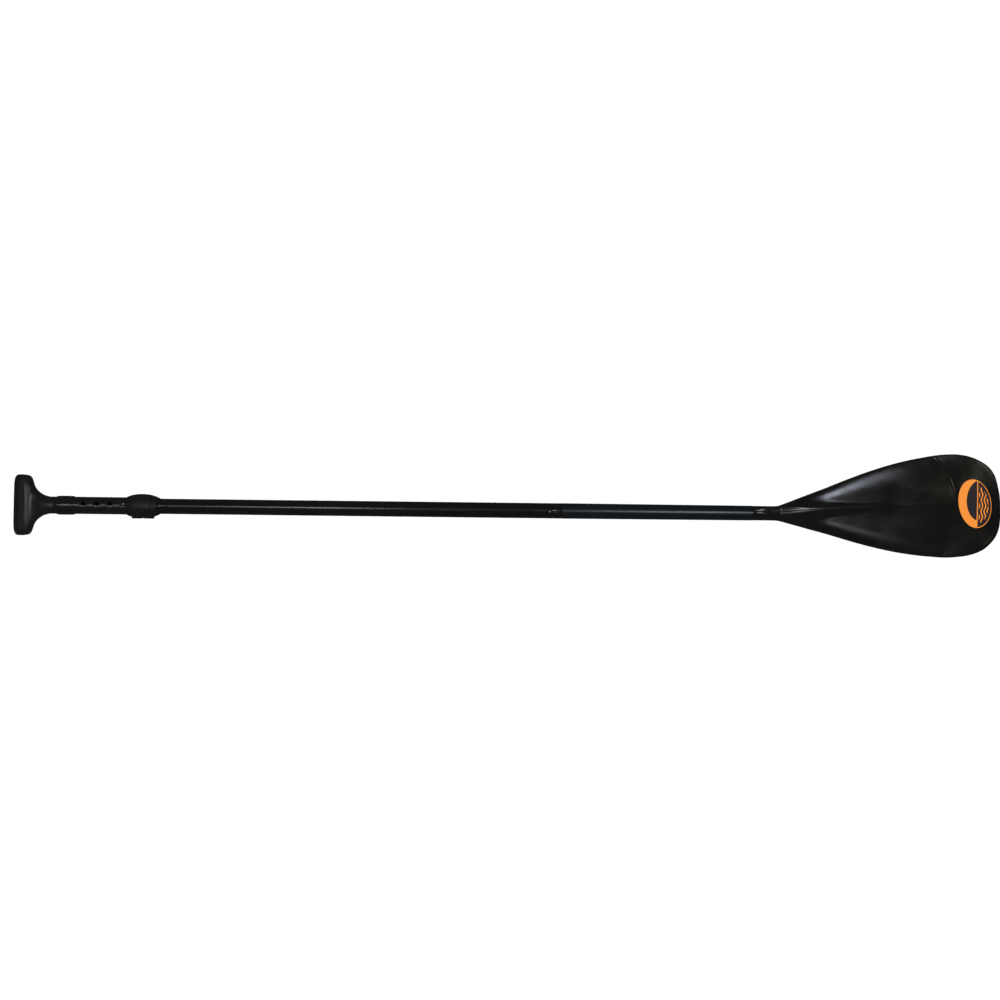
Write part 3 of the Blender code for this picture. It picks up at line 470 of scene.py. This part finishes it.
def build_handle_tube():
    """The tube's wall as one ring of rows, then the holes drilled through its top."""
    chamfer = 0.3 * MM
    stations = np.arange(TUBE_LOW + chamfer, TUBE_HIGH - chamfer, 1.2 * MM)
    rows = [tube_ring(TUBE_LOW, HANDLE_BORE), tube_ring(TUBE_LOW, HANDLE_RADIUS - chamfer)]
    rows += [tube_ring(x, HANDLE_RADIUS) for x in stations]
    rows += [tube_ring(TUBE_HIGH, HANDLE_RADIUS - chamfer), tube_ring(TUBE_HIGH, HANDLE_BORE)]
    bm = grid_loft(rows + rows[:1], closed_ends=False)
    piece = to_piece(bm, "holed_tube")
    for hole in HOLES_X:
        bm = bmesh.new()
        where = Matrix.Translation((hole, 0, AXIS_Z + HANDLE_RADIUS))
        bmesh.ops.create_cone(
            bm, cap_ends=True, segments=48, radius1=HOLE_RADIUS, radius2=HOLE_RADIUS,
            depth=12 * MM, matrix=where,
        )
        cut_with(piece, to_piece(bm, "drill"))
    return dress(piece, "handle_tube", handle_look)


handle_tube = build_handle_tube()
print("handle tube faces:", len(handle_tube.data.polygons))

# %% [markdown]
# ## The blade
# The blade is one moulding. A round neck spreads into a thin plate whose middle stands
# higher than its edges. The neck runs on as a rib that sinks into the plate by mid-blade.
# Near the tip the plate folds up a little along a curved line, and a printed oval sits
# beyond the fold. Sections across the blade are joined one to the next.

# %% Shape the blade
BLADE_X = NECK_X + 50.4 * MM
BLADE_LENGTH = TIP_X - BLADE_X
HALF_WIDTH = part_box("blade")[1].y
NECK_RADIUS = 13.5 * MM
TANG_RADIUS = 12.05 * MM
# Half width, as a share of the widest, at shares of the blade's length
OUTLINE = (
    (0.0, 0.149), (0.065, 0.239), (0.12, 0.316), (0.229, 0.465), (0.337, 0.622),
    (0.446, 0.764), (0.555, 0.879), (0.664, 0.958), (0.77, 1.0), (0.827, 0.989),
    (0.87, 0.953), (0.91, 0.884), (0.941, 0.79), (0.963, 0.697), (0.985, 0.532),
    (0.996, 0.34), (1.0, 0.13),
)
# How far the tip's middle leans to +Y, as a share of the widest half
LEAN = (
    (0.0, 0.0), (0.9, 0.0), (0.941, 0.011), (0.963, 0.023), (0.985, 0.048), (0.996, 0.078),
    (1.0, 0.08),
)
# Height of the edges above the tubes' axis in mm, without the fold
RISE = (
    (0.0, 0.0), (0.065, 5.2), (0.174, 14.6), (0.337, 28.5), (0.5, 43.4), (0.61, 54.0),
    (0.718, 64.6), (1.0, 94.2),
)
# How much higher the middle stands than the edges, in mm
CROWN = (
    (0.0, 0.0), (0.1, 6.0), (0.22, 10.0), (0.4, 12.5), (0.62, 14.0), (0.78, 12.0),
    (0.88, 7.5), (0.95, 3.0), (1.0, 0.5),
)
# The rib's height and width in mm
RIB = (
    (0.0, 9.0, 12.0), (0.22, 7.5, 9.0), (0.45, 4.5, 5.5), (0.59, 1.6, 3.0), (0.68, 0.0, 2.0),
    (1.0, 0.0, 2.0),
)
CROWN_POWER = 1.8
FOLD_AT = 296 * MM
FOLD_CURVE = 14 * MM  # the fold's line comes back by this much, at FOLD_REACH from the middle
FOLD_REACH = 73 * MM
FOLD_POWER = 2.2
FOLD_SLOPE = 0.085
FOLD_SOFT = 1.2 * MM
LIP_HEIGHT = 0.25 * MM  # a faint lip stands along the fold, on both sides of the middle
LIP_WIDTH = 0.9 * MM
LIP_START = 14 * MM
LIP_GROWS = 20 * MM
NECK_FADE = 85 * MM


def smooth_through(pairs, at):
    """Values of a monotone cubic curve through (position, value) pairs."""
    x, y = (np.array(column, float) for column in zip(*pairs))
    step = np.diff(x)
    slope = np.diff(y) / step
    tangent = np.zeros_like(y)
    tangent[0], tangent[-1] = slope[0], slope[-1]
    for i in range(1, len(x) - 1):
        if slope[i - 1] * slope[i] > 0:
            before, after = 2 * step[i] + step[i - 1], step[i] + 2 * step[i - 1]
            tangent[i] = (before + after) / (before / slope[i - 1] + after / slope[i])
    at = np.clip(np.asarray(at, float), x[0], x[-1])
    i = np.clip(np.searchsorted(x, at, side="right") - 1, 0, len(step) - 1)
    t = (at - x[i]) / step[i]
    stay = (1 + 2 * t) * (1 - t) ** 2 * y[i] + t * (1 - t) ** 2 * step[i] * tangent[i]
    move = t * t * (3 - 2 * t) * y[i + 1] + t * t * (t - 1) * step[i] * tangent[i + 1]
    return stay + move


def half_width(d):
    return HALF_WIDTH * smooth_through(OUTLINE, d / BLADE_LENGTH)


def lean(d):
    """How far the middle of the tip leans to the +Y side."""
    return HALF_WIDTH * smooth_through(LEAN, d / BLADE_LENGTH)


def plate_height(d, y):
    """Height of the middle of the plate above the tubes' axis."""
    share = d / BLADE_LENGTH
    v = np.clip(np.abs(y - lean(d)) / half_width(d), 0, 1)
    fold_line = FOLD_AT - FOLD_CURVE * (np.abs(y) / FOLD_REACH) ** FOLD_POWER
    past = (d - fold_line) / FOLD_SOFT
    fold = FOLD_SLOPE * FOLD_SOFT * np.logaddexp(0, past)
    apart = np.clip((np.abs(y) - LIP_START) / LIP_GROWS, 0, 1)
    fold = fold + LIP_HEIGHT * apart * np.exp(-(((d - fold_line) / LIP_WIDTH) ** 2))
    crown = smooth_through(CROWN, share) * (1 - v**CROWN_POWER)
    return MM * (smooth_through(RISE, share) + crown) + fold


def rib_height(d, y):
    share = d / BLADE_LENGTH
    height = MM * smooth_through([(s, h) for s, h, w in RIB], share)
    width = MM * smooth_through([(s, w) for s, h, w in RIB], share)
    return height * np.exp(-((y / width) ** 2))


def half_thickness(d, v):
    """Half the plate's thickness: thinner towards the tip, closed at the edges."""
    core = MM * (3.6 - 1.7 * d / BLADE_LENGTH)
    return core * np.sqrt(np.clip(1 - np.abs(v) ** 6, 0, 1))


def face_height(d, y):
    """Height of the blade's face above the tubes' axis."""
    v = (y - lean(d)) / half_width(d)
    return plate_height(d, y) + half_thickness(d, v) + rib_height(d, y) * (1 - v**4)


def blade_shares(count=32):
    """Places across the blade, closer together at the rib and at the edges."""
    s = np.arange(-count, count + 1) / count
    share = np.sin(np.pi / 2 * s * np.abs(s) ** 0.3)
    v = np.concatenate([share, share[::-1][1:-1]])
    side = np.concatenate([np.ones(len(share)), -np.ones(len(share) - 2)])
    return v, side


def blade_ring(d, v, side):
    """One section; near the neck it is still partly round."""
    y = float(half_width(d)) * v + float(lean(d))
    blend = min(1.0, d / NECK_FADE)
    blend = blend * blend * (3 - 2 * blend)
    ridge = np.where(side > 0, 1.0, 0.5) * rib_height(d, y) * (1 - v**4)
    flat = side * (half_thickness(d, v) + ridge)
    neck = side * NECK_RADIUS * np.sqrt(np.clip(1 - v * v, 0, 1))
    z = plate_height(d, y) + (1 - blend) * neck + blend * flat
    return [(BLADE_X + d, a, AXIS_Z + b) for a, b in zip(y, z)]


def build_blade():
    v, side = blade_shares()
    round_z = side * np.sqrt(np.clip(1 - v * v, 0, 1))

    def circle(x, radius):
        return [(x, radius * a, AXIS_Z + radius * b) for a, b in zip(v, round_z)]

    tang_start = NECK_X - 60 * MM
    rows = [
        circle(tang_start, TANG_RADIUS - 1.0 * MM),
        circle(tang_start + 2 * MM, TANG_RADIUS),
        circle(NECK_X, TANG_RADIUS),
        circle(NECK_X, NECK_RADIUS - 0.4 * MM),
        circle(NECK_X + 0.4 * MM, NECK_RADIUS),
        circle(BLADE_X - 8 * MM, NECK_RADIUS),
    ]
    # Stations in mm, close together where the plate folds and where the tip closes
    plain = np.arange(0, 270, 3.0)
    fine = np.arange(270, 300, 0.45)
    end = np.append(np.arange(302, 360, 2.5), (360, 362, 364, 365.4, 366.6, 367.5))
    stations = np.concatenate([plain, fine, end])
    for d in stations * BLADE_LENGTH / stations[-1]:
        rows.append(blade_ring(d, v, side))
    return dress(to_piece(grid_loft(rows), "moulded_blade", 50), "blade", blade_look)


blade = build_blade()
print("blade faces:", len(blade.data.polygons), "half width", round(HALF_WIDTH, 4))

# %% [markdown]
# ## The printed oval
# The print on the blade is replaced by a plain badge of the same size and colours: a thin
# orange ring round a dark field, a thick orange crescent on the side of the grip, and plain
# waves in the other half. It carries no letters and no mark. The pattern is worked out from
# each point's place in the oval, so its edges stay sharp at any distance.

# %% Finish and build the badge
BADGE_AT = 0.887
BADGE_SIDE = -1.5 * MM
BADGE_HALF_LENGTH = 26.6 * MM
BADGE_HALF_WIDTH = 44.8 * MM
BADGE_X = BLADE_X + BADGE_AT * BLADE_LENGTH
ORANGE = (0.95, 0.28, 0.012)
FIELD = (0.017, 0.011, 0.019)
PATTERN_SHEAR = 0.19  # keeps the divider square to the shaft as the face falls away
RING_INSIDE = 0.965
HOLLOW_AT = (0.42, 0.12)  # centre of the round that hollows out the crescent
HOLLOW_SQUEEZE = 0.92
HOLLOW_RADIUS = 0.86
CRESCENT_END = 0.13
DIVIDER_AT = 0.16
DIVIDER_HALF = 0.03
WAVES_START = 0.26
WAVES_INSIDE = 0.82


def badge_finish():
    made, tree, shader = finish_of("badge_print", ORANGE, 0.38)
    nodes, links = tree.nodes, tree.links
    where = nodes.new("ShaderNodeTexCoord")
    place = nodes.new("ShaderNodeMapping")
    place.inputs["Location"].default_value = (
        -BADGE_X / BADGE_HALF_LENGTH,
        -BADGE_SIDE / BADGE_HALF_WIDTH,
        0,
    )
    place.inputs["Scale"].default_value = (1 / BADGE_HALF_LENGTH, 1 / BADGE_HALF_WIDTH, 0)
    links.new(where.outputs["Object"], place.inputs["Vector"])
    split = nodes.new("ShaderNodeSeparateXYZ")
    links.new(place.outputs["Vector"], split.inputs["Vector"])

    def math_node(kind, a, b=None):
        node = nodes.new("ShaderNodeMath")
        node.operation = kind
        for socket, value in zip(node.inputs, (a, b)):
            if value is None:
                continue
            if isinstance(value, (int, float)):
                socket.default_value = value
            else:
                links.new(value, socket)
        return node.outputs["Value"]

    across, v = split.outputs["X"], split.outputs["Y"]
    u = math_node("SUBTRACT", across, math_node("MULTIPLY", v, PATTERN_SHEAR))

    def circle_distance(u0, v0, squeeze, along=u):
        du = math_node("MULTIPLY", math_node("SUBTRACT", along, u0), squeeze)
        dv = math_node("SUBTRACT", v, v0)
        square = math_node("ADD", math_node("MULTIPLY", du, du), math_node("MULTIPLY", dv, dv))
        return math_node("SQRT", square)

    ring = math_node("GREATER_THAN", circle_distance(0.0, 0.0, 1.0, across), RING_INSIDE)
    hollow = circle_distance(*HOLLOW_AT, HOLLOW_SQUEEZE)
    outside_hollow = math_node("GREATER_THAN", hollow, HOLLOW_RADIUS)
    left = math_node("LESS_THAN", u, CRESCENT_END)
    crescent = math_node("MULTIPLY", outside_hollow, left)
    divider = math_node("COMPARE", u, DIVIDER_AT)
    divider.node.inputs[2].default_value = DIVIDER_HALF
    wave = math_node("MULTIPLY", math_node("SINE", math_node("MULTIPLY", v, 14.0)), 0.05)
    bands = math_node("SINE", math_node("MULTIPLY", math_node("ADD", u, wave), 33.0))
    bands = math_node("GREATER_THAN", bands, 0.35)
    right = math_node("GREATER_THAN", u, WAVES_START)
    inner = math_node("LESS_THAN", circle_distance(0.0, 0.0, 1.0, across), WAVES_INSIDE)
    waves = math_node("MULTIPLY", math_node("MULTIPLY", bands, right), inner)
    left_parts = math_node("MAXIMUM", ring, crescent)
    shown = math_node("MAXIMUM", left_parts, math_node("MAXIMUM", divider, waves))
    ink = between(tree, shown, FIELD, ORANGE)
    speckle = spread(tree, grain(tree, 900.0, 4.0), 0.0, 0.12)
    worn = nodes.new("ShaderNodeMix")
    worn.data_type = "RGBA"
    worn.inputs["B"].default_value = (0.02, 0.015, 0.015, 1.0)
    links.new(speckle, worn.inputs["Factor"])
    links.new(ink, worn.inputs["A"])
    links.new(worn.outputs["Result"], shader.inputs["Base Color"])
    bumped(tree, shader, math_node("ADD", shown, grain(tree, 1500.0, 2.0)), 1e-5)
    return made


def badge_point(radius, angle, lift):
    d = BADGE_AT * BLADE_LENGTH + radius * BADGE_HALF_LENGTH * math.cos(angle)
    y = BADGE_SIDE + radius * BADGE_HALF_WIDTH * math.sin(angle)
    return (BLADE_X + d, y, AXIS_Z + float(face_height(d, y)) + lift)


def build_badge():
    """A thin oval that follows the blade's face."""
    bm = bmesh.new()
    angles = np.linspace(0, 2 * math.pi, 120, endpoint=False)
    radii = np.linspace(0.04, 1.0, 40)
    edges = []
    for lift in (0.15 * MM, 0.35 * MM):
        centre = bm.verts.new(badge_point(0.0, 0.0, lift))
        rings = [[bm.verts.new(badge_point(r, a, lift)) for a in angles] for r in radii]
        for i in range(len(angles)):
            j = (i + 1) % len(angles)
            bm.faces.new((centre, rings[0][i], rings[0][j]))
            for inner, outer in zip(rings, rings[1:]):
                bm.faces.new((inner[i], outer[i], outer[j], inner[j]))
        edges.append(rings[-1])
    for i in range(len(angles)):
        j = (i + 1) % len(angles)
        bm.faces.new((edges[0][i], edges[1][i], edges[1][j], edges[0][j]))
    return dress(to_piece(bm, "oval_badge"), "blade_emblem", badge_finish())


badge = build_badge()
print("badge size:", [round(c, 4) for c in badge.dimensions])

# %% [markdown]
# ## Floor and light
# The floor and the dome round it are pale and plain. The paddle's gloss doesn't see them:
# it reflects a dim room and a few soft lights, which is how a studio keeps black gloss black
# on a white ground. Long lights above the shaft draw the lines of light along it. Small ones
# shine into the blade's hollows and along its fold. Each light is linked to the pieces that
# it is meant for, so the tubes' lights don't wash over the blade.

# %% Build the studio
FLOOR_SIZE = 30.0
DOME_RADIUS = 14.0


def stage_finish(name, colour, glow):
    """A matt paint that gives off its own white light, so no shadow darkens it."""
    made, tree, shader = finish_of(name, colour, 1.0)
    shader.inputs["Specular IOR Level"].default_value = 0.0
    shader.inputs["Emission Color"].default_value = (1.0, 1.0, 1.0, 1.0)
    shader.inputs["Emission Strength"].default_value = glow
    return made


def make_stage():
    bpy.ops.mesh.primitive_plane_add(size=FLOOR_SIZE, location=(0, 0, -0.0002))
    floor = bpy.context.object
    floor.name = "floor"
    floor.data.materials.append(stage_finish("floor_paint", (0.05, 0.05, 0.05), 1.0))
    bpy.ops.mesh.primitive_uv_sphere_add(radius=DOME_RADIUS, segments=64, ring_count=32)
    dome = bpy.context.object
    dome.name = "dome"
    dome.data.materials.append(stage_finish("dome_paint", (0.0, 0.0, 0.0), 1.12))
    for thing in (floor, dome):
        thing.visible_glossy = False
        thing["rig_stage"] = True
    return floor, dome


def soft_light(name, place, aim, size, power, colour=(1, 1, 1)):
    """An area light that only gloss sees; the dome lights the rest."""
    data = bpy.data.lights.new(name, "AREA")
    data.shape = "RECTANGLE"
    data.size, data.size_y = size
    data.energy = power
    data.color = colour
    made = bpy.data.objects.new(name, data)
    made.location = place
    made.rotation_euler = (Vector(aim) - Vector(place)).to_track_quat("-Z", "Y").to_euler()
    made.visible_diffuse = False
    made.visible_camera = False
    bpy.context.scene.collection.objects.link(made)
    return made


def shine_only_on(light, pieces):
    """Light linking: only these pieces catch the light, as if cards shaded the rest."""
    group = bpy.data.collections.new(f"{light.name}_catchers")
    for piece in pieces:
        group.objects.link(piece)
    light.light_linking.receiver_collection = group


floor, dome = make_stage()
on_blade = [blade, badge]
not_tubes = (*on_blade, floor, dome)
meshes = [o for o in bpy.context.scene.objects if o.type == "MESH"]
on_tubes = [o for o in meshes if o not in not_tubes]
# Name, place, aim, size, power and colour
TUBE_LIGHTS = (
    ("shaft_light", (-0.75, -0.42, 2.0), (-0.4, 0, 0), (0.9, 0.10), 2.4, (1, 1, 1)),
    ("shaft_glint", (-0.57, -0.42, 2.0), (-0.3, 0, 0), (0.34, 0.10), 2.4, (1, 1, 1)),
    ("lower_light", (0.75, -0.30, 2.0), (0.4, 0, 0), (0.8, 0.30), 8.0, (0.8, 0.95, 1.0)),
    ("handle_light", (-1.6, -0.42, 2.0), (-0.8, 0, 0), (0.5, 0.12), 1.1, (1, 1, 1)),
    ("handle_glint", (-1.45, -0.22, 2.0), (-0.72, 0, 0), (0.10, 0.05), 1.3, (1, 1, 1)),
)
BLADE_LIGHTS = (
    ("hollow_light", (0.0, 2.1, 2.0), (0.6, 0, 0), (0.2, 0.5), 6.0, (0.82, 0.87, 1.0)),
    ("low_hollow_light", (0.04, -0.57, 2.0), (0.6, 0, 0), (0.2, 0.25), 0.4, (0.9, 0.93, 1.0)),
    ("tip_light", (1.0, 1.05, 2.0), (0.85, 0, 0), (0.16, 0.6), 0.8, (1.0, 0.95, 0.72)),
    ("low_tip_light", (0.92, -0.12, 2.0), (0.85, 0, 0), (0.16, 0.25), 0.07, (1.0, 0.95, 0.72)),
    ("crease_light", (-0.15, 1.05, 2.0), (0.8, 0, 0), (0.3, 0.4), 3.5, (1.0, 1.0, 0.95)),
    ("low_crease_light", (-0.15, -0.15, 2.0), (0.8, 0, 0), (0.3, 0.35), 2.5, (1.0, 1.0, 0.95)),
)
for settings in TUBE_LIGHTS:
    shine_only_on(soft_light(*settings), on_tubes)
for settings in BLADE_LIGHTS:
    shine_only_on(soft_light(*settings), on_blade)

world = bpy.data.worlds.new("dim_room")
world.use_nodes = True
world.node_tree.nodes["Background"].inputs["Color"].default_value = (0.10, 0.10, 0.09, 1.0)
world.node_tree.nodes["Background"].inputs["Strength"].default_value = 0.35
bpy.context.scene.world = world
bpy.context.scene.view_settings.view_transform = "Standard"

# %% [markdown]
# ## The size of the finished pieces
# The box of the finished pieces is set beside the box of the engineering model, and how much
# it grew is printed.

# %% Print how much the box grew
shown_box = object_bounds()
growth = (shown_box[1] - shown_box[0]) - (cad_box[1] - cad_box[0])
print("box grew by", [round(c, 5) for c in growth])
